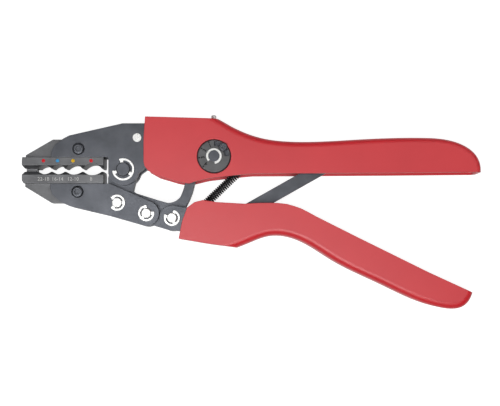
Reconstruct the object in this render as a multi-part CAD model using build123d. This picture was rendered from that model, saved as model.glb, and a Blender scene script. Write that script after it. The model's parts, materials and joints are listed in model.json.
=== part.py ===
from build123d import *

import math
import os

# A ratchet crimping tool, lying flat on its back face.
# It is drawn about its main pivot: X along the handles, Y up across the jaws, Z through the thickness,
# with Z = 0 at the middle plane.  place() then moves every piece so that the origin is under the middle.

# Driving dimensions, in millimetres and degrees
LEVER_HALF = 3.0  # half the thickness of the middle lever and of the die tongues
LAYER_GAP = 0.1  # running gap between two layers of plate
PLATE = 3.5  # thickness of each jaw plate and lever plate
WALL = 2.0  # sheet thickness of the two handles
RUNNING = 0.05  # radial clearance of a pin that turns
HANDLE_ROUND = 3.0  # rounding of the handles' outer edges
EYE_RADIUS = 7.2  # the lever's eye on the main pivot
LOBE_RADIUS = 7.7  # the jaw plates' round lobe over it
LINK_RADIUS = 6.2  # the plates' round ends on the small pins

PLATE_LOW = LEVER_HALF + LAYER_GAP
PLATE_HIGH = PLATE_LOW + PLATE
HALF_DEPTH = PLATE_HIGH + WALL

# Pivots and fasteners, measured from the main pivot
MAIN = (0.0, 0.0)
JAW_PINS = ((-3.0, -16.4), (11.4, -21.6))
HANDLE_PIVOT = (24.0, -23.9)
FRAME_RIVET = (6.8, 15.7)
UPPER_SCREW = (-22.1, 10.1)
LOWER_SCREW = (-22.6, -11.1)
ADJUSTER = (44.8, 6.3)
LOCK_SCREW = (49.3, 10.8)
SPRING_LOW = (36.4, -19.7)
SPRING_HIGH = (60.6, 2.0)
STRUT_LOW = (47.0, -27.8)
STRUT_HIGH = (107.0, 6.0)

MAIN_PIN_RADIUS = 3.4
SMALL_PIN_RADIUS = 2.4
STRUT_PIN_RADIUS = 2.0
SCREW_RADIUS = 2.0
CLIP_THICKNESS = 0.8
CLIP_WIDTH = 0.95
LOOP_CLEARANCE = 0.4  # at the strut's lower pin, where the linkage's loop is open
RIVET_RADIUS = 2.0
MAIN_GROOVE = 2.6  # radius left in the main pin's clip groove
SMALL_GROOVE = 1.8  # the same for the three small pins
MAIN_CLIP_RADIUS = 5.45
SMALL_CLIP_RADIUS = 3.95
STRUT_WIDTH = 6.35
STRUT_HALF = 1.5  # half the strut's thickness
STRUT_EYE_RADIUS = 4.3
WASHER_RADIUS = 3.6

# Ratchet and adjuster
ARM_INNER = 30.9
ARM_OUTER = 35.6
ARM_FROM = -38.0
ARM_TO = 17.0
TOOTH_FROM = -4.0
TOOTH_TO = 12.5
TOOTH_PITCH = 1.5
TOOTH_DEPTH = 0.8
ECCENTRICITY = 0.5
WHEEL_RADIUS = 8.2
WHEEL_THICKNESS = 2.5
WHEEL_SLOT_HALF = 1.2  # half the width of the slot for the lock screw
PAWL_TIP_GAP = 0.36
SHAFT_RADIUS = 3.2
LOCK_SCREW_RADIUS = 1.1
STEM_RADIUS = 2.75
JOURNAL_RADIUS = 2.5
ANCHOR_X = 44.4  # the pawl spring's stud, through the top of the upper handle

# Return spring, with distances along its axis from the lower anchor
SPRING_RADIUS = 2.25
SPRING_HOOK_RADIUS = 0.5
SPRING_PIN_RADIUS = 1.6
SPRING_HOOK_START = -1.0
COIL_START = 3.4
COIL_END = 26.5

# Dies: each nest is (left, right, peak above the parting line, depth below it)
DIE_LEFT = -50.1
DIE_RIGHT = -9.85
UPPER_LAND = 0.66
LOWER_LAND = -1.0
DIE_TOP = 6.1
DIE_BOTTOM = -6.8
NESTS = (
    (-42.3, -35.9, 2.3, -2.3),
    (-35.2, -29.2, 2.5, -2.3),
    (-28.5, -20.6, 2.8, -2.5),
    (-19.9, -10.9, 3.1, -2.8),
)


def polar(radius, degrees, centre=MAIN):
    """The point at a radius and an angle about a centre."""
    angle = math.radians(degrees)
    return (centre[0] + radius * math.cos(angle), centre[1] + radius * math.sin(angle))


def slab(face, low, high):
    """A flat face made into a plate from z = low to z = high."""
    return Pos(0, 0, low) * extrude(face, amount=high - low, dir=(0, 0, 1))


def outline(*points):
    """A closed straight-sided face."""
    return make_face(Polyline(*points, close=True))


def disc(centre, radius):
    """A round face."""
    return Pos(centre[0], centre[1]) * Circle(radius)


def rod(centre, radius, low, high):
    """A round bar along Z."""
    return slab(disc(centre, radius), low, high)


def bar_between(start, end, width):
    """A face of constant width with round ends at two points."""
    length = math.dist(start, end)
    angle = math.degrees(math.atan2(end[1] - start[1], end[0] - start[0]))
    middle = ((start[0] + end[0]) / 2, (start[1] + end[1]) / 2)
    body = Pos(middle[0], middle[1]) * Rot(0, 0, angle) * Rectangle(length, width)
    return body + disc(start, width / 2) + disc(end, width / 2)


def rod_between(start, end, radius):
    """A round bar in the middle plane, from one point to another."""
    span = Vector(end[0] - start[0], end[1] - start[1], 0)
    plane = Plane(origin=(start[0], start[1], 0), z_dir=span)
    return extrude(plane * Circle(radius), amount=span.length)


def sector(inner, outer, start, stop, centre=MAIN):
    """A part of a ring, between two angles."""
    middle = (start + stop) / 2
    edges = (
        ThreePointArc(polar(outer, start, centre), polar(outer, middle, centre), polar(outer, stop, centre)),
        Line(polar(outer, stop, centre), polar(inner, stop, centre)),
        ThreePointArc(polar(inner, stop, centre), polar(inner, middle, centre), polar(inner, start, centre)),
        Line(polar(inner, start, centre), polar(outer, start, centre)),
    )
    return make_face(Curve() + list(edges))


def both_sides(plate_face):
    """The front and the rear plate of a pair."""
    front = slab(plate_face, PLATE_LOW, PLATE_HIGH)
    rear = slab(plate_face, -PLATE_HIGH, -PLATE_LOW)
    return front, rear


def bored(solid, *holes):
    """A solid with round holes right through it, each (centre, radius)."""
    for centre, radius in holes:
        solid = solid - rod(centre, radius, -HALF_DEPTH - 5, HALF_DEPTH + 5)
    return solid


def grooved_pin(centre, radius, groove_radius):
    """A headed pin with a groove for its spring clip at the front."""
    clip_low = PLATE_HIGH + LAYER_GAP
    clip_high = clip_low + CLIP_THICKNESS
    head = rod(centre, radius + 1.2, -PLATE_HIGH - 1.3, -PLATE_HIGH)
    shank = rod(centre, radius, -PLATE_HIGH, clip_low)
    neck = rod(centre, groove_radius, clip_low, clip_high)
    tip = chamfer(rod(centre, radius, clip_high, clip_high + 0.8).edges().group_by(Axis.Z)[-1], 0.3)
    return head + shank + neck + tip


def spring_clip(centre, groove_radius, outer, opening):
    """A flat open ring that snaps into a pin's groove, with three inner lugs like an E."""
    low = PLATE_HIGH + LAYER_GAP
    ring = sector(outer - CLIP_WIDTH, outer, opening + 38, opening + 322, centre)
    for turn in (50, 180, 310):
        lug = Rot(0, 0, opening + turn) * Pos((groove_radius + outer) / 2, 0)
        ring += Pos(centre[0], centre[1]) * lug * Rectangle(outer - groove_radius - 0.6, 1.5)
    return slab(ring, low, low + CLIP_THICKNESS) - rod(centre, groove_radius, low - 1, low + 2)


# The fixed jaw and the dies


def upper_jaw_face():
    """The upper jaw plate, which runs back inside the handle to the strut's pin."""
    plate = outline(
        (-35.6, DIE_TOP + 0.05), (-35.6, 8.6), (-34.7, 10.7), (-33.1, 12.8), (-29.4, 15.4),
        (-26.7, 16.8), (-0.3, 22.8), (44.0, 22.8), (52.0, 18.2), (62.0, 14.2), (74.0, 11.0),
        (112.0, 11.0), (112.0, -0.4), (62.0, -0.6), (50.0, -2.2), (32.0, -4.6), (20.0, -2.6),
        (10.6, 0.6), (8.0, -1.3), (6.4, -3.5), (3.0, -6.0), (-3.0, -6.0), (-6.6, -1.6), (-7.4, 0.0),
        (-7.4, DIE_TOP - 0.8), (-8.1, DIE_TOP + 0.05),
    )
    return plate + (disc(MAIN, LOBE_RADIUS) - Pos(-12.4, 0) * Rectangle(10, 30))


def lower_jaw_face():
    """The lower jaw plate, pinned to the middle lever."""
    plate = outline(
        (-36.1, -6.9), (-36.1, -9.4), (-35.2, -12.1), (-33.1, -14.3), (-30.7, -16.2), (-26.4, -18.1),
        (-8.2, -22.4), (10.0, -27.6), (14.5, -16.3), (7.3, -13.0), (1.0, -10.3), (-6.9, -6.9),
    )
    return plate + disc(JAW_PINS[1], LINK_RADIUS)


def die(land, back, nest_column, bevel_side):
    """One die: a front-to-back bar with four nests, on a thinner tongue that the jaw plates hold."""
    away = 1 if back > land else -1
    bar = outline(
        (DIE_LEFT + 1.2, land), (DIE_RIGHT, land), (DIE_RIGHT, back),
        (DIE_LEFT + 0.2 if away > 0 else DIE_LEFT + 0.9, back), (DIE_LEFT, back - away * 1.5),
        (DIE_LEFT, land + away * 1.6),
    )
    solid = slab(bar, -PLATE_HIGH, PLATE_HIGH)
    long_edges = solid.edges().filter_by(Axis.X).group_by(Axis.Y)[bevel_side]
    solid = chamfer(long_edges, 1.5)
    for nest in NESTS:
        middle = (nest[0] + nest[1]) / 2
        curve = ThreePointArc((nest[0], land), (middle, nest[nest_column]), (nest[1], land))
        mouth = make_face(Curve() + [curve, Line((nest[1], land), (nest[0], land))])
        solid = solid - slab(mouth, -HALF_DEPTH, HALF_DEPTH)
    return solid


def upper_die():
    """The upper die, with a slot near its tip for the lower die's guide."""
    solid = die(UPPER_LAND, DIE_TOP, 2, 0)
    tongue = outline((-48.9, DIE_TOP - 1), (-48.9, 7.4), (-35.4, 15.2), (-12, 15.2), (-12, DIE_TOP - 1))
    solid = solid + slab(tongue, -LEVER_HALF, LEVER_HALF)
    slot = Pos(-46.0, 1.4, 0) * Box(6.4, 4.4, 4.4)
    return bored(solid - slot, (UPPER_SCREW, SCREW_RADIUS))


def lower_die():
    """The lower die, with the guide block that slides into the upper one."""
    solid = die(LOWER_LAND, DIE_BOTTOM, 3, -1)
    root = DIE_BOTTOM + 1
    tongue = outline((-49.2, root), (-49.2, -8.3), (-36.1, -16.3), (-12, -16.3), (-12, root))
    guide = Pos(-46.0, 0.0, 0) * Box(5.4, 2.4, 4.0)
    solid = solid + slab(tongue, -LEVER_HALF, LEVER_HALF) + guide
    return bored(solid, (LOWER_SCREW, SCREW_RADIUS))


def die_screw(centre):
    """A button-head screw with a hexagon socket, right through both plates and the tongue."""
    head = fillet(rod(centre, 2.95, PLATE_HIGH, PLATE_HIGH + 1.7).edges().group_by(Axis.Z)[-1], 1.0)
    socket = slab(Pos(centre[0], centre[1]) * RegularPolygon(1.3, 6), PLATE_HIGH + 0.6, PLATE_HIGH + 2)
    return head - socket + rod(centre, SCREW_RADIUS, -HALF_DEPTH + 0.1, PLATE_HIGH)


def die_nut(centre):
    """The nut on the back of a die screw."""
    nut = slab(Pos(centre[0], centre[1]) * RegularPolygon(3.4, 6), -HALF_DEPTH + 0.2, -PLATE_HIGH)
    return nut - rod(centre, SCREW_RADIUS, -HALF_DEPTH - 1, -PLATE_HIGH + 1)


# The moving jaw


def jaw_lever():
    """The middle lever: an eye on the main pivot, a bar to the handle pivot and a toothed arc arm."""
    face = outline(
        (-7.2, 0), (-8.0, -4.0), (-8.2, -21.6), (8.8, -25.8), (22.0, -29.7), (26.0, -29.0), (34.0, -22.6),
        (38.2, -19.6), (36.8, -17.2), (30.0, -19.2), (25.0, -17.6), (22.8, -16.6), (16.4, -14.8),
        (10.1, -12.8), (5.7, -11.4), (4.4, -10.2), (5.0, -7.5), (7.0, -1.0),
    )
    face = face + disc(MAIN, EYE_RADIUS) + disc(HANDLE_PIVOT, LINK_RADIUS)
    face = face + sector(ARM_INNER, ARM_OUTER, ARM_FROM, ARM_TO)
    arm_root = polar(ARM_INNER + 0.2, -22)
    web = ThreePointArc((18.5, -15.5), (24.9, -15.6), arm_root)
    face = face + make_face(Curve() + [web, Polyline(arm_root, (28.0, -21.0), (18.5, -15.5))])
    angle = TOOTH_FROM
    while angle <= TOOTH_TO:
        notch = outline(
            polar(ARM_OUTER + 0.2, angle - 0.45 * TOOTH_PITCH),
            polar(ARM_OUTER + 0.2, angle + 0.45 * TOOTH_PITCH),
            polar(ARM_OUTER - TOOTH_DEPTH, angle),
        )
        face = face - notch
        angle += TOOTH_PITCH
    lever = slab(face, -LEVER_HALF, LEVER_HALF)
    lever = lever - rod_between(spring_point(SPRING_HOOK_START), SPRING_HIGH, SPRING_HOOK_RADIUS)
    pins = [(centre, SMALL_PIN_RADIUS) for centre in (*JAW_PINS, HANDLE_PIVOT)]
    return bored(lever, (MAIN, MAIN_PIN_RADIUS + RUNNING), *pins)


def handle_lever_face():
    """The plate that joins the lower handle to its pivot."""
    plate = outline(
        (22.0, -29.7), (27.6, -30.1), (34.0, -31.0), (44.0, -32.4), (58.0, -33.6), (60.0, -24.0),
        (52.0, -20.4), (38.0, -18.4), (30.6, -18.7), (25.6, -17.9),
    )
    return plate + disc(HANDLE_PIVOT, LINK_RADIUS)


# The handles: each is a channel of sheet steel, open towards the other handle


def upper_grip_face(inset):
    """The upper handle's side, or the space inside it when inset is the sheet thickness."""
    end_x = 176.5 - inset
    crown = Spline(
        (50.6, 22.9 - inset), (57.0, 19.5 - inset), (69.0, 15.4 - inset), (82.7, 13.8 - inset),
        (114.7, 14.8 - inset), (147.4, 15.7 - inset), (165.0 - inset / 2, 13.3 - inset),
        (173.5 - inset, 7.9 - inset), (end_x, -1.4),
    )
    if inset:
        rest = Polyline((end_x, -1.4), (end_x, -16), (-1, -16), (-1, 25.9 - inset), (47.0, 24.9 - inset),
                        (50.6, 22.9 - inset))
    else:
        rest = Polyline((end_x, -1.4), (132.5, -1.8), (63.7, -2.2), (54.9, -3.0), (41.8, -4.6), (35.0, -6.2),
                        (32.4, -7.1), (26.4, -6.0), (17.0, -3.2), (12.3, -0.6), (10.6, 1.7), (10.2, 4.0),
                        (10.2, 14.9), (10.9, 25.9), (47.0, 24.9), (50.6, 22.9))
    return make_face(Curve() + [crown, rest])


def lower_grip_face(inset):
    """The lower handle's side, or the space inside it when inset is the sheet thickness."""
    belly = Spline(
        (56.0, -38.4 + inset), (63.0, -35.6 + inset), (72.0, -32.6 + inset), (84.0, -33.8 + inset),
        (104.0, -45.0 + inset), (126.6, -56.1 + inset), (155.5, -67.9 + inset),
        (167.0 - inset / 2, -67.9 + inset), (172.4 - inset, -60.8),
    )
    if inset:
        rest = Polyline((172.4 - inset, -60.8), (178.0, -20), (20, -6), (20, -31.9), (27.4, -32.1),
                        (56.0, -38.4 + inset))
    else:
        rest = Polyline((172.4, -60.8), (150.4, -50.7), (114.7, -33.1), (95.0, -23.2), (91.0, -21.0),
                        (87.6, -19.3), (84.2, -18.1), (80.6, -17.1), (76.0, -16.6), (67.0, -16.6),
                        (60.0, -17.0), (46.0, -16.2), (39.2, -15.2), (35.2, -16.2), (31.6, -18.9),
                        (29.2, -25.4), (27.4, -34.1), (42.2, -36.6), (56.0, -38.4))
    return make_face(Curve() + [belly, rest])


def grip(face_of, round_radius):
    """A channel: the outer slab with its long curved edges rounded, less the space inside it."""
    outer = slab(face_of(0), -HALF_DEPTH, HALF_DEPTH)
    curved = [edge for edge in outer.edges() if edge.geom_type == GeomType.BSPLINE]
    outer = fillet(curved, round_radius)
    return outer - slab(face_of(WALL), -PLATE_HIGH, PLATE_HIGH)


# The adjuster, the pawl and the strut


def adjuster_wheel():
    """A round wheel on the shaft's stem, with a long curved slot for the lock screw."""
    reach = math.dist(ADJUSTER, LOCK_SCREW)
    toward = math.degrees(math.atan2(LOCK_SCREW[1] - ADJUSTER[1], LOCK_SCREW[0] - ADJUSTER[0]))
    inner = reach - WHEEL_SLOT_HALF
    outer = reach + WHEEL_SLOT_HALF
    face = disc(ADJUSTER, WHEEL_RADIUS) - sector(inner, outer, toward - 44, toward + 44, ADJUSTER)
    wheel = slab(face, PLATE_HIGH, PLATE_HIGH + WHEEL_THICKNESS)
    arcs = wheel.edges().filter_by(GeomType.CIRCLE)
    rim = arcs.filter_by(lambda edge: abs(edge.radius - WHEEL_RADIUS) < 0.01)
    wheel = chamfer(rim.group_by(Axis.Z)[-1], 0.45)
    return wheel - rod(ADJUSTER, STEM_RADIUS, PLATE_HIGH - 1, PLATE_HIGH + 4)


def adjuster_shaft():
    """The wheel's shaft, with the eccentric journal that carries the pawl."""
    shaft = rod(ADJUSTER, SHAFT_RADIUS, -PLATE_HIGH, -LEVER_HALF)
    shaft = shaft + rod(journal_centre(), JOURNAL_RADIUS, -LEVER_HALF, LEVER_HALF)
    shaft = shaft + rod(ADJUSTER, SHAFT_RADIUS, LEVER_HALF, PLATE_HIGH)
    top = PLATE_HIGH + WHEEL_THICKNESS
    return shaft + rod(ADJUSTER, STEM_RADIUS, PLATE_HIGH, top + 1.5)


def adjuster_clip():
    """The snap ring that holds the wheel on its shaft, open at the bottom."""
    low = PLATE_HIGH + WHEEL_THICKNESS
    ring = sector(STEM_RADIUS, 3.8, 250 + 28, 250 + 332, ADJUSTER)
    return slab(ring, low, low + CLIP_THICKNESS)


def lock_screw():
    """A cross-head screw through the wheel's slot into the jaw plate."""
    top = PLATE_HIGH + WHEEL_THICKNESS + 0.05
    head = fillet(rod(LOCK_SCREW, 2.1, top, top + 1.2).edges().group_by(Axis.Z)[-1], 0.5)
    for turn in (20, 110):
        head = head - Pos(LOCK_SCREW[0], LOCK_SCREW[1], top + 1.1) * Rot(0, 0, turn) * Box(2.6, 0.55, 1.2)
    return head + rod(LOCK_SCREW, LOCK_SCREW_RADIUS, PLATE_LOW, top)


def journal_centre():
    """The eccentric's centre, square to the line to the main pivot, so that a turn moves it in or out."""
    away = math.degrees(math.atan2(ADJUSTER[1], ADJUSTER[0])) + 90
    return polar(ECCENTRICITY, away, ADJUSTER)


def ratchet_pawl():
    """The pawl: a ring on the eccentric journal and a nose that points at the teeth."""
    centre = journal_centre()
    inward = math.degrees(math.atan2(-centre[1], -centre[0]))
    reach = math.dist(centre, MAIN) - ARM_OUTER - PAWL_TIP_GAP
    nose = outline(
        polar(4.2, inward + 75, centre), polar(reach, inward + 2, centre),
        polar(reach, inward - 2, centre), polar(4.2, inward - 75, centre),
    )
    face = disc(centre, 4.4) + nose - disc(centre, JOURNAL_RADIUS + RUNNING)
    return slab(face, -LEVER_HALF + 0.3, LEVER_HALF - 0.3)


def strut():
    """The flat strut from inside the lower handle to inside the upper one."""
    face = bar_between(STRUT_LOW, STRUT_HIGH, STRUT_WIDTH)
    face = face + disc(STRUT_LOW, STRUT_EYE_RADIUS) + disc(STRUT_HIGH, STRUT_EYE_RADIUS)
    low_hole = (STRUT_LOW, STRUT_PIN_RADIUS + LOOP_CLEARANCE)
    high_hole = (STRUT_HIGH, STRUT_PIN_RADIUS + RUNNING)
    return bored(slab(face, -STRUT_HALF, STRUT_HALF), low_hole, high_hole)


def washers(centre):
    """A spacer washer on each side of the strut's eye, touching the plate beside it."""
    ring = disc(centre, WASHER_RADIUS) - disc(centre, STRUT_PIN_RADIUS)
    inner = STRUT_HALF + LAYER_GAP
    return slab(ring, inner, PLATE_LOW) + slab(ring, -PLATE_LOW, -inner)


def spring_point(distance):
    """The point on the return spring's axis at a distance from its lower anchor."""
    length = math.dist(SPRING_LOW, SPRING_HIGH)
    share = distance / length
    return tuple(low + (high - low) * share for low, high in zip(SPRING_LOW, SPRING_HIGH))


def return_spring():
    """The closed outer shape of the coil spring, with a hook bar at each end."""
    hook_end = math.dist(SPRING_LOW, SPRING_HIGH) - SPRING_PIN_RADIUS
    hooks = rod_between(spring_point(SPRING_HOOK_START), spring_point(hook_end), SPRING_HOOK_RADIUS)
    return hooks + rod_between(spring_point(COIL_START), spring_point(COIL_END), SPRING_RADIUS)


def pawl_spring():
    """The small spring from the pawl up to its anchor."""
    bottom = journal_centre()[1] + 4.8
    return Pos(ANCHOR_X, (bottom + 16.0) / 2, 0) * Rot(90, 0, 0) * Cylinder(1.3, 16.0 - bottom)


def pawl_spring_anchor():
    """A domed stud through the top of the upper handle, which holds the pawl's spring."""
    shank = Pos(ANCHOR_X, 20.7, 0) * Rot(90, 0, 0) * Cylinder(1.0, 9.4)
    dome = Pos(ANCHOR_X, 26.4, 0) * Rot(90, 0, 0) * Cylinder(1.3, 2.6)
    return shank + fillet(dome.edges().group_by(Axis.Y)[-1], 0.7)


def spacer_tube(centre, bore, outer):
    """A tube that keeps the two plates of a pair apart."""
    return slab(disc(centre, outer) - disc(centre, bore), -PLATE_LOW, PLATE_LOW)


def plain_pin(centre, radius):
    """A pin that ends flush with the two plates."""
    return rod(centre, radius, -PLATE_HIGH, PLATE_HIGH)


def build():
    """Every sub-part by its node name, drawn about the main pivot."""
    frame_holes = (
        (MAIN, MAIN_PIN_RADIUS), (FRAME_RIVET, RIVET_RADIUS), (UPPER_SCREW, SCREW_RADIUS),
        (STRUT_HIGH, STRUT_PIN_RADIUS), (ADJUSTER, SHAFT_RADIUS + RUNNING),
        (SPRING_HIGH, SPRING_PIN_RADIUS), (LOCK_SCREW, LOCK_SCREW_RADIUS),
    )
    upper_front, upper_rear = (bored(plate, *frame_holes) for plate in both_sides(upper_jaw_face()))
    jaw_holes = [(centre, SMALL_PIN_RADIUS) for centre in JAW_PINS]
    lower_front, lower_rear = (
        bored(plate, *jaw_holes, (LOWER_SCREW, SCREW_RADIUS)) for plate in both_sides(lower_jaw_face())
    )
    lever_holes = ((HANDLE_PIVOT, SMALL_PIN_RADIUS + RUNNING), (STRUT_LOW, STRUT_PIN_RADIUS))
    lever_front, lever_rear = (bored(plate, *lever_holes) for plate in both_sides(handle_lever_face()))

    upper_grip = grip(upper_grip_face, HANDLE_ROUND)
    upper_grip = upper_grip - rod(ADJUSTER, WHEEL_RADIUS + 0.25, PLATE_HIGH - 1, HALF_DEPTH + 1)
    upper_grip = upper_grip - Pos(ANCHOR_X, 24, 0) * Rot(90, 0, 0) * Cylinder(1.0, 8)
    upper_grip = upper_grip - Pos(ANCHOR_X, 27.1, 0) * Rot(90, 0, 0) * Cylinder(1.3, 4)
    lower_grip = grip(lower_grip_face, HANDLE_ROUND)

    rivet_head = rod(FRAME_RIVET, RIVET_RADIUS + 0.1, PLATE_HIGH, PLATE_HIGH + 0.5)
    return {
        "upper_jaw_plate_front": upper_front,
        "upper_jaw_plate_rear": upper_rear,
        "frame_rivet": plain_pin(FRAME_RIVET, RIVET_RADIUS) + rivet_head,
        "frame_spacer": spacer_tube(FRAME_RIVET, RIVET_RADIUS, WASHER_RADIUS),
        "upper_die": upper_die(),
        "upper_die_screw": die_screw(UPPER_SCREW),
        "upper_die_nut": die_nut(UPPER_SCREW),
        "main_pivot_pin": grooved_pin(MAIN, MAIN_PIN_RADIUS, MAIN_GROOVE),
        "main_pivot_clip": spring_clip(MAIN, MAIN_GROOVE, MAIN_CLIP_RADIUS, 150),
        "upper_handle": upper_grip,
        "strut_upper_pin": plain_pin(STRUT_HIGH, STRUT_PIN_RADIUS),
        "strut_upper_washers": washers(STRUT_HIGH),
        "spring_upper_pin": plain_pin(SPRING_HIGH, SPRING_PIN_RADIUS),
        "return_spring": return_spring(),
        "lock_screw": lock_screw(),
        "pawl_spring_anchor": pawl_spring_anchor(),
        "pawl_spring": pawl_spring(),
        "adjuster_wheel": adjuster_wheel(),
        "adjuster_shaft": adjuster_shaft(),
        "adjuster_clip": adjuster_clip(),
        "ratchet_pawl": ratchet_pawl(),
        "jaw_lever": jaw_lever(),
        "lower_jaw_plate_front": lower_front,
        "lower_jaw_plate_rear": lower_rear,
        "lower_die": lower_die(),
        "lower_die_screw": die_screw(LOWER_SCREW),
        "lower_die_nut": die_nut(LOWER_SCREW),
        "front_jaw_pin": grooved_pin(JAW_PINS[0], SMALL_PIN_RADIUS, SMALL_GROOVE),
        "front_jaw_pin_clip": spring_clip(JAW_PINS[0], SMALL_GROOVE, SMALL_CLIP_RADIUS, 180),
        "rear_jaw_pin": grooved_pin(JAW_PINS[1], SMALL_PIN_RADIUS, SMALL_GROOVE),
        "rear_jaw_pin_clip": spring_clip(JAW_PINS[1], SMALL_GROOVE, SMALL_CLIP_RADIUS, 50),
        "handle_pivot_pin": grooved_pin(HANDLE_PIVOT, SMALL_PIN_RADIUS, SMALL_GROOVE),
        "handle_pivot_clip": spring_clip(HANDLE_PIVOT, SMALL_GROOVE, SMALL_CLIP_RADIUS, 115),
        "handle_lever_front": lever_front,
        "handle_lever_rear": lever_rear,
        "lower_handle": lower_grip,
        "strut_lower_pin": plain_pin(STRUT_LOW, STRUT_PIN_RADIUS),
        "strut_lower_washers": washers(STRUT_LOW),
        "toggle_strut": strut(),
    }


drawn = build()
whole = Compound([solid for part in drawn.values() for solid in part.solids()]).bounding_box()
SHIFT = Vector(-(whole.min.X + whole.max.X) / 2, -(whole.min.Y + whole.max.Y) / 2, HALF_DEPTH)
parts = {name: Pos(SHIFT.X, SHIFT.Y, SHIFT.Z) * part for name, part in drawn.items()}

os.makedirs("parts", exist_ok=True)
for name, part in parts.items():
    export_step(part, f"parts/{name}.step")
print("shift", SHIFT.X, SHIFT.Y, SHIFT.Z, "size", whole.size.X, whole.size.Y, whole.size.Z)
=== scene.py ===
import json
import math

import bpy
import bmesh
from mathutils import Matrix, Vector


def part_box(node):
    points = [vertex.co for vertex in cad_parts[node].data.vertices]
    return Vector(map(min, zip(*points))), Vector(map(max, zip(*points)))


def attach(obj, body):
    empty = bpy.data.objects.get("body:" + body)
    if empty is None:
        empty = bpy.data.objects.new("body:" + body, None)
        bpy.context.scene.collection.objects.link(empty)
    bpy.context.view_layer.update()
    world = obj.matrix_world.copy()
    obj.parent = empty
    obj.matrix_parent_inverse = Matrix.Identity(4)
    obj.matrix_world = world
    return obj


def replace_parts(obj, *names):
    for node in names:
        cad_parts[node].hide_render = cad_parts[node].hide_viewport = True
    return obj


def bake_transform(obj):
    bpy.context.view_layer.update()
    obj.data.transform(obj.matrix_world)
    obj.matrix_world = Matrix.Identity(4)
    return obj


# The looks of a ratchet crimping tool that lies on its back on a pale floor.
# Lengths are in metres, in the CAD frame.

MM = 0.001

# Camera: it looks straight down, and the lens shift brings the tool into the frame
CAMERA_PLACE = (-0.0007, -0.0266, 0.5086)
LENS = 72.0
SENSOR_WIDTH = 36.0
SHIFT_Y = 0.124
CLIP_START = 0.01

# Sky brightness at the horizon and overhead
WORLD_HORIZON = 0.15
WORLD_OVERHEAD = 0.55

# The floor, its glow as the camera sees it, and the weaker glow that it throws on the tool
FLOOR_HALF = 3.0
FLOOR_DROP = 0.0002
FLOOR_GREY = (0.35, 0.35, 0.35, 1)
FLOOR_SEEN = 0.9
FLOOR_BOUNCE = 0.42

# Square lamps that point at the origin: name, place, power in watts and side length
LAMPS = (
    ("key_light", (-0.12, -0.26, 0.85), 4.7, 0.6),
    ("fill_light", (0.5, 0.35, 0.8), 2.0, 0.8),
    ("sheen_panel", (-0.14, -0.17, 0.62), 0.9, 0.4),
)

# Return spring
SPRING_OUTER = 4.5 * MM
SPRING_WIRE = 0.78 * MM
SPRING_PITCH = 1.15 * MM
WOUND_SHARE = (0.13, 0.87)  # the part of its length that is wound

# Pawl spring
PAWL_WIRE_RADIUS = 0.22 * MM
PAWL_PITCH = 0.7 * MM

# Die marks: the wire size, its share of the die's length and the dot's colour
MARKS = (
    ("22-18", 0.265, (0.75, 0.01, 0.02)),
    ("16-14", 0.438, (0.06, 0.36, 0.72)),
    ("12-10", 0.628, (0.85, 0.50, 0.01)),
    ("8", 0.850, (0.75, 0.01, 0.02)),
)
DOT_ABOVE_LAND = 3.65 * MM
DOT_RADIUS = 0.9 * MM
DOT_RISE = 0.16 * MM
DOT_SINK = 0.02 * MM
SIZE_BELOW_TOP = 5.95 * MM  # down from the top of the lower die's guide block
SIZE_HEIGHT = 2.5 * MM
MARK_LIFT = 0.01 * MM
LETTER_DEPTH = 0.03 * MM

# Marks on the adjuster wheel, with rings as shares of its radius and angles in degrees
DIAL_NUMBERS = (1, 2, 3, 4)
DIAL_START = 72
DIAL_STEP = 38
DIAL_NUMBER_RING = 0.66
DIAL_TICK_RINGS = (0.82, 0.93)
DIAL_HEIGHT = 2.3 * MM
DIAL_BOLDER = 0.1 * MM
DIAL_TICK_RADIUS = 0.26 * MM


# Materials


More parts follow.
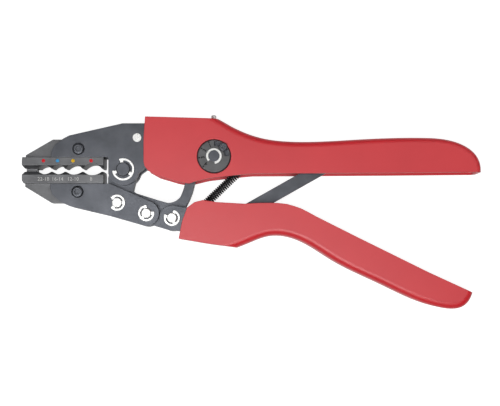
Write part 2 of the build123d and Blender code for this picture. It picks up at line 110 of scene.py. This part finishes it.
class Shader:
    """A material's node tree, with short calls for the nodes used here."""

    def __init__(self, name):
        self.material = bpy.data.materials.new(name)
        self.material.use_nodes = True
        self.nodes = self.material.node_tree.nodes
        self.links = self.material.node_tree.links
        self.principled = self.nodes["Principled BSDF"]
        self.place = self.nodes.new("ShaderNodeTexCoord").outputs["Object"]

    def join(self, source, target):
        self.links.new(source, target)

    def feed(self, name, source):
        """Drives one of the surface's inputs."""
        self.join(source, self.principled.inputs[name])

    def noise(self, scale, detail=3.0, stretch=(1, 1, 1)):
        mapping = self.nodes.new("ShaderNodeMapping")
        mapping.inputs["Scale"].default_value = stretch
        self.join(self.place, mapping.inputs["Vector"])
        texture = self.nodes.new("ShaderNodeTexNoise")
        texture.inputs["Scale"].default_value = scale
        texture.inputs["Detail"].default_value = detail
        self.join(mapping.outputs["Vector"], texture.inputs["Vector"])
        return texture.outputs["Fac"]

    def ramp(self, factor, low, high, low_value=0.0, high_value=1.0):
        node = self.nodes.new("ShaderNodeMapRange")
        node.inputs["From Min"].default_value = low
        node.inputs["From Max"].default_value = high
        node.inputs["To Min"].default_value = low_value
        node.inputs["To Max"].default_value = high_value
        self.join(factor, node.inputs["Value"])
        return node.outputs["Result"]

    def mix(self, factor, first, second):
        """A blend of two colours.  Inputs 6 and 7 and output 2 are the Mix node's colour sockets."""
        node = self.nodes.new("ShaderNodeMix")
        node.data_type = "RGBA"
        self.join(factor, node.inputs["Factor"])
        for socket, value in ((node.inputs[6], first), (node.inputs[7], second)):
            if isinstance(value, tuple):
                socket.default_value = (*value, 1.0)
            else:
                self.join(value, socket)
        return node.outputs[2]

    def edges(self, radius, low, high):
        """How near a point is to a sharp edge, from 0 to 1, and the normal rounded over that edge."""
        bevel = self.nodes.new("ShaderNodeBevel")
        bevel.samples = 6
        bevel.inputs["Radius"].default_value = radius
        geometry = self.nodes.new("ShaderNodeNewGeometry")
        dot = self.nodes.new("ShaderNodeVectorMath")
        dot.operation = "DOT_PRODUCT"
        self.join(bevel.outputs["Normal"], dot.inputs[0])
        self.join(geometry.outputs["Normal"], dot.inputs[1])
        return self.ramp(dot.outputs["Value"], high, low), bevel.outputs["Normal"]

    def times(self, first, second):
        node = self.nodes.new("ShaderNodeMath")
        node.operation = "MULTIPLY"
        self.join(first, node.inputs[0])
        self.join(second, node.inputs[1])
        return node.outputs[0]

    def bump(self, height, strength, distance, normal):
        node = self.nodes.new("ShaderNodeBump")
        node.inputs["Strength"].default_value = strength
        node.inputs["Distance"].default_value = distance
        self.join(height, node.inputs["Height"])
        self.join(normal, node.inputs["Normal"])
        self.feed("Normal", node.outputs["Normal"])

    def set(self, **values):
        for name, value in values.items():
            self.principled.inputs[name.replace("_", " ")].default_value = value


def red_paint():
    """Satin powder coat: a fine orange peel, with a painted highlight that makes it slightly paler on sharp
    edges.
    """
    s = Shader("red_powder_coat")
    edge, rounded = s.edges(0.5 * MM, 0.75, 0.97)
    cloud = s.ramp(s.noise(45.0), 0.3, 0.7)
    body = s.mix(cloud, (0.700, 0.022, 0.032), (0.655, 0.018, 0.028))
    # painted highlight: sharp edges are mixed towards a paler red
    s.feed("Base Color", s.mix(s.ramp(edge, 0, 1, 0, 0.3), body, (0.72, 0.04, 0.05)))
    s.feed("Roughness", s.ramp(s.noise(900.0), 0.3, 0.7, 0.36, 0.46))
    s.bump(s.noise(1400.0, 2.0), 0.12, 0.00008, rounded)
    s.set(Coat_Weight=0.35, Coat_Roughness=0.38)
    return s.material


def oxide_steel(name, dark, light, edge_wear_and_highlight, metallic=0.55, rough=(0.34, 0.5), grain=(1, 1, 1)):
    """Blackened steel: faint rolling grain, cloudy oxide, and bright edges that are partly wear and partly
    painted highlight.
    """
    s = Shader(name)
    edge, rounded = s.edges(0.28 * MM, 0.72, 0.98)
    cloud = s.ramp(s.noise(120.0, 4.0), 0.32, 0.7)
    wear_and_highlight_patches = s.ramp(s.noise(600.0, 4.0), 0.35, 0.65, 0.35, 1.0)
    # Paler colour on sharp edges, broken up in patches: partly edge wear, partly a painted highlight.
    s.feed("Base Color", s.mix(s.times(edge, wear_and_highlight_patches), s.mix(cloud, dark, light), edge_wear_and_highlight))
    s.feed("Roughness", s.ramp(s.noise(1500.0, 3.0, grain), 0.3, 0.7, *rough))
    s.bump(s.noise(2200.0, 3.0, grain), 0.1, 0.00004, rounded)
    s.set(Metallic=metallic)
    return s.material


def bright_steel():
    """Plated steel with a fine turned or stamped surface."""
    s = Shader("bright_steel")
    _, rounded = s.edges(0.2 * MM, 0.7, 0.98)
    cloud = s.ramp(s.noise(400.0, 4.0), 0.3, 0.7)
    s.feed("Base Color", s.mix(cloud, (0.90, 0.90, 0.88), (0.78, 0.78, 0.76)))
    s.feed("Roughness", s.ramp(s.noise(1800.0), 0.3, 0.7, 0.22, 0.42))
    s.bump(s.noise(2600.0), 0.08, 0.00003, rounded)
    s.set(Metallic=0.45)
    return s.material


def enamel(name, colour):
    """A drop of coloured paint or filled lettering."""
    s = Shader(name)
    darker = tuple(c * 0.8 for c in colour)
    s.feed("Base Color", s.mix(s.ramp(s.noise(900.0), 0.3, 0.7), colour, darker))
    s.set(Roughness=0.55, Specular_IOR_Level=0.2)
    return s.material


# Meshes


def new_piece(name, mesh, material, body):
    """A mesh as an object, which rides on a CAD body when one is given."""
    piece = bpy.data.objects.new(name, mesh)
    bpy.context.scene.collection.objects.link(piece)
    piece.data.materials.clear()
    piece.data.materials.append(material)
    if body:
        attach(piece, body)
    return piece


def turns(sides):
    """Evenly spaced angles round a circle."""
    return [2 * math.pi * k / sides for k in range(sides)]


def skin(mesh, rings):
    """Smooth faces between each ring of points and the next."""
    for first, second in zip(rings, rings[1:]):
        sides = len(first)
        for k in range(sides):
            after = (k + 1) % sides
            mesh.faces.new((first[k], first[after], second[after], second[k])).smooth = True


def saved(name, mesh):
    """The edited mesh as mesh data."""
    data = bpy.data.meshes.new(name)
    mesh.to_mesh(data)
    mesh.free()
    return data


def tube_mesh(name, points, radius, sides=10):
    """A round wire along a list of points, closed at both ends."""
    mesh = bmesh.new()
    rings = []
    side = None
    for i, point in enumerate(points):
        ahead = points[min(i + 1, len(points) - 1)]
        behind = points[max(i - 1, 0)]
        along = (ahead - behind).normalized()
        side = along.orthogonal() if side is None else (side - along * side.dot(along))
        side.normalize()
        across = along.cross(side)
        spots = [point + radius * (math.cos(t) * side + math.sin(t) * across) for t in turns(sides)]
        rings.append([mesh.verts.new(spot) for spot in spots])
    skin(mesh, rings)
    mesh.faces.new(list(reversed(rings[0])))
    mesh.faces.new(rings[-1])
    return saved(name, mesh)


def dome_mesh(name, centre, radius, height, sides=32, rings=5):
    """A low round drop on a face."""
    mesh = bmesh.new()
    rows = []
    for ring in range(rings):
        angle = math.pi / 2 * ring / rings
        level = centre + Vector((0, 0, height * math.sin(angle)))
        reach = radius * math.cos(angle)
        spots = [level + reach * Vector((math.cos(t), math.sin(t), 0)) for t in turns(sides)]
        rows.append([mesh.verts.new(spot) for spot in spots])
    skin(mesh, rows)
    mesh.faces.new(rows[-1]).smooth = True
    mesh.faces.new(list(reversed(rows[0])))
    return saved(name, mesh)


def coil_points(start, end, radius, pitch, steps=18):
    """The points of a helix from one point to another."""
    axis = end - start
    along = axis.normalized()
    side = along.cross(Vector((0, 0, 1))).normalized()
    across = along.cross(side)
    count = max(2, round(axis.length / pitch)) * steps
    points = []
    for k in range(count + 1):
        turn = 2 * math.pi * k / steps
        points.append(start + axis * (k / count) + radius * (math.cos(turn) * side + math.sin(turn) * across))
    return points


# Springs


def spring_ends(frame):
    """The axis ends of the CAD spring: its lowest and highest points along its slope."""
    points = [v.co for v in frame["nodes"]["return_spring"].data.vertices]
    slope = Vector((1, 1, 0))
    low = min(points, key=slope.dot)
    high = max(points, key=slope.dot)
    middle = (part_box("return_spring")[0].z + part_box("return_spring")[1].z) / 2
    return Vector((low.x, low.y, middle)), Vector((high.x, high.y, middle))


def return_spring(frame, material):
    """The wound spring in place of its plain solid."""
    low, high = spring_ends(frame)
    start = low.lerp(high, WOUND_SHARE[0])
    end = low.lerp(high, WOUND_SHARE[1])
    wire_radius = SPRING_WIRE / 2
    coil = coil_points(start, end, SPRING_OUTER / 2 - wire_radius, SPRING_PITCH)
    lead = [low, low.lerp(start, 0.6)]
    tail = [end.lerp(high, 0.4), high]
    mesh = tube_mesh("return_spring_coil", lead + coil + tail, wire_radius)
    piece = new_piece("return_spring_coil", mesh, material, None)
    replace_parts(piece, "return_spring")
    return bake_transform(piece)


def pawl_spring(material):
    """The small wound spring above the pawl."""
    low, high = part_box("pawl_spring")
    x, z = (low.x + high.x) / 2, (low.z + high.z) / 2
    bottom, top = Vector((x, low.y, z)), Vector((x, high.y, z))
    points = coil_points(bottom, top, (high.x - low.x) / 2 - PAWL_WIRE_RADIUS, PAWL_PITCH)
    mesh = tube_mesh("pawl_spring_coil", points, PAWL_WIRE_RADIUS, 8)
    piece = new_piece("pawl_spring_coil", mesh, material, "frame")
    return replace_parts(piece, "pawl_spring")


# Marks


def lettering(name, text, height, place, turn, material, body, bolder=0.0):
    """Raised filled numbers, as a mesh, lying on a face that looks up."""
    curve = bpy.data.curves.new(name, "FONT")
    curve.body = text
    curve.size = height
    curve.extrude = LETTER_DEPTH
    curve.offset = bolder
    curve.resolution_u = 3
    curve.align_x = "CENTER"
    curve.align_y = "CENTER"
    source = bpy.data.objects.new(name + "_curve", curve)
    mesh = bpy.data.meshes.new_from_object(source)
    bpy.data.objects.remove(source)
    mesh.transform(Matrix.Translation(place) @ Matrix.Rotation(turn, 4, "Z"))
    mesh.name = name
    new_piece(name, mesh, material, body)


def die_marks(pale):
    """The wire-size numbers on the lower die and a colour dot over each nest on the upper one."""
    low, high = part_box("upper_die")
    lower_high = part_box("lower_die")[1]
    length = high.x - low.x
    dot_y = low.y + DOT_ABOVE_LAND
    text_y = lower_high.y - SIZE_BELOW_TOP
    for text, share, colour in MARKS:
        tag = text.replace("-", "_")
        centre = Vector((low.x + length * share, dot_y, high.z - DOT_SINK))
        paint = enamel("dot_paint_" + tag, colour)
        dot = dome_mesh("colour_dot", centre, DOT_RADIUS, DOT_RISE)
        new_piece("colour_dot_" + tag, dot, paint, "frame")
        place = Vector((centre.x, text_y, lower_high.z + MARK_LIFT))
        lettering("size_mark_" + tag, text, SIZE_HEIGHT, place, 0.0, pale, "lower_jaw")


def wheel_marks(ink):
    """Dark dial numbers and short ticks round the left of the adjuster wheel."""
    low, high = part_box("adjuster_wheel")
    centre = (low + high) / 2
    radius = (high.x - low.x) / 2
    for number in DIAL_NUMBERS:
        angle = math.radians(DIAL_START + DIAL_STEP * number)
        outward = Vector((math.cos(angle), math.sin(angle), 0))
        place = centre + outward * radius * DIAL_NUMBER_RING
        place.z = high.z + MARK_LIFT
        turn = angle - math.pi / 2
        name = f"dial_number_{number}"
        lettering(name, str(number), DIAL_HEIGHT, place, turn, ink, "adjuster", DIAL_BOLDER)
        points = [centre + outward * radius * share for share in DIAL_TICK_RINGS]
        for point in points:
            point.z = high.z
        name = f"dial_tick_{number}"
        mesh = tube_mesh(name, points, DIAL_TICK_RADIUS, 8)
        new_piece(name, mesh, ink, "adjuster")


def paint_cad_nodes(frame, looks):
    """Every CAD node takes the look of its material slot."""
    slots = {row["node"]: row["material_slot"] for row in frame["record"]["subparts"]}
    for name, node in frame["nodes"].items():
        node.data.materials.clear()
        node.data.materials.append(looks[slots[name]])
        for polygon in node.data.polygons:
            polygon.material_index = 0


# The studio


def pale_floor():
    """A pale floor just under the tool, white to the camera."""
    mesh = bpy.data.meshes.new("floor")
    half = FLOOR_HALF
    corners = [(-half, -half, 0), (half, -half, 0), (half, half, 0), (-half, half, 0)]
    mesh.from_pydata(corners, [], [(0, 1, 2, 3)])
    floor = bpy.data.objects.new("floor", mesh)
    floor.location.z = -FLOOR_DROP
    bpy.context.scene.collection.objects.link(floor)
    shade = Shader("floor_white")
    shade.set(Base_Color=FLOOR_GREY, Roughness=0.9, Emission_Color=(1, 1, 1, 1))
    seen = shade.nodes.new("ShaderNodeLightPath").outputs["Is Camera Ray"]
    shade.feed("Emission Strength", shade.ramp(seen, 0, 1, FLOOR_BOUNCE, FLOOR_SEEN))
    floor.data.materials.append(shade.material)


def sky():
    """Soft light, brighter overhead than at the horizon."""
    world = bpy.data.worlds.new("studio")
    world.use_nodes = True
    nodes, links = world.node_tree.nodes, world.node_tree.links
    upward = nodes.new("ShaderNodeTexCoord").outputs["Generated"]
    split = nodes.new("ShaderNodeSeparateXYZ")
    brightness = nodes.new("ShaderNodeMapRange")
    brightness.inputs["To Min"].default_value = WORLD_HORIZON
    brightness.inputs["To Max"].default_value = WORLD_OVERHEAD
    links.new(upward, split.inputs["Vector"])
    links.new(split.outputs["Z"], brightness.inputs["Value"])
    links.new(brightness.outputs["Result"], nodes["Background"].inputs["Strength"])
    bpy.context.scene.world = world


def lamps():
    """Soft square lamps above the tool."""
    for name, place, power, size in LAMPS:
        light = bpy.data.lights.new(name, "AREA")
        light.energy = power
        light.size = size
        lamp = bpy.data.objects.new(name, light)
        lamp.location = place
        lamp.rotation_euler = (-Vector(place)).to_track_quat("-Z", "Y").to_euler()
        bpy.context.scene.collection.objects.link(lamp)


def camera():
    """A camera straight above the tool."""
    lens = bpy.data.cameras.new("camera")
    lens.lens = LENS
    lens.sensor_width = SENSOR_WIDTH
    lens.shift_y = SHIFT_Y
    lens.clip_start = CLIP_START
    eye = bpy.data.objects.new("camera", lens)
    eye.location = CAMERA_PLACE
    bpy.context.scene.collection.objects.link(eye)
    bpy.context.scene.camera = eye
    bpy.context.scene.view_settings.view_transform = "Standard"


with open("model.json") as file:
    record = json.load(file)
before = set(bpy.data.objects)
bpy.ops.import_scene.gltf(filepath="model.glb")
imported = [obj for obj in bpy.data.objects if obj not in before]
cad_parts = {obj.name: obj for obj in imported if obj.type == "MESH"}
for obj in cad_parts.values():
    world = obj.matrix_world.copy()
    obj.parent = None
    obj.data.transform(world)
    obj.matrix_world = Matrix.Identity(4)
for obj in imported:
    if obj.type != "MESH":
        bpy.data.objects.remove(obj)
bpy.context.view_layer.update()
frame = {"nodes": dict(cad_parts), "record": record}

spring_steel = oxide_steel(
    "spring_steel", (0.03, 0.03, 0.033), (0.06, 0.06, 0.064), (0.2, 0.2, 0.2), 0.7, (0.28, 0.4)
)
pale_fill = enamel("pale_filled_marks", (0.62, 0.62, 0.6))
looks = {
    "handle_red": red_paint(),
    "black_steel": oxide_steel(
        "blackened_plate", (0.066, 0.070, 0.080), (0.095, 0.100, 0.113), (0.34, 0.35, 0.37),
        metallic=0.75, rough=(0.3, 0.44),
    ),
    "die_steel": oxide_steel(
        "blackened_die", (0.092, 0.093, 0.097), (0.135, 0.137, 0.142), (0.4, 0.4, 0.41),
        metallic=0.75, rough=(0.3, 0.42), grain=(8, 1, 1),
    ),
    "bright_steel": bright_steel(),
    "black_wheel": oxide_steel("black_wheel", (0.075, 0.075, 0.077), (0.11, 0.11, 0.113), (0.3, 0.3, 0.31)),
    "spring_steel": spring_steel,
}
paint_cad_nodes(frame, looks)
return_spring(frame, spring_steel)
pawl_spring(spring_steel)
die_marks(pale_fill)
wheel_marks(enamel("dark_engraving", (0.008, 0.008, 0.008)))
pale_floor()
sky()
lamps()
camera()
